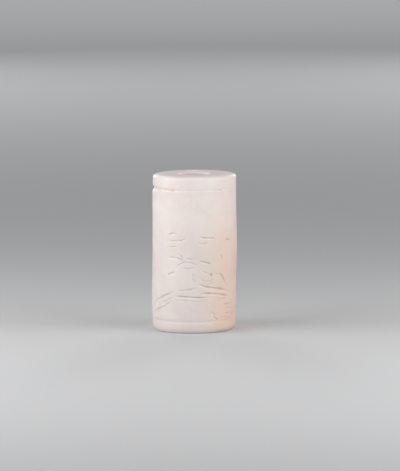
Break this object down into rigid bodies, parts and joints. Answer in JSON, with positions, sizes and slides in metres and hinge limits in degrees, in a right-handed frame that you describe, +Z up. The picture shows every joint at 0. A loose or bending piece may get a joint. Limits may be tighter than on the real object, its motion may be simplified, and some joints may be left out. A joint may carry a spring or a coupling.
{
  "type": "carved stone cylinder bead",
  "caption": "Upright carved cylinder bead of pale jade, bored end to end for a cord, with a ring groove near each end and a shallow incised scene between them.",
  "frame": {"origin": "centre of the lower end, on the surface that the bead stands on", "axes": "+Z up along the bore, -Y towards the side that the picture shows, +X to its right"},
  "size_m": [0.0247, 0.0246, 0.045],
  "materials": {
    "pale_jade": "polished pale nephrite, cream white and slightly translucent, with a warm russet tinge down one side"
  },
  "bodies": {
    "root": {"bead": "pale_jade"}
  },
  "joints": []
}
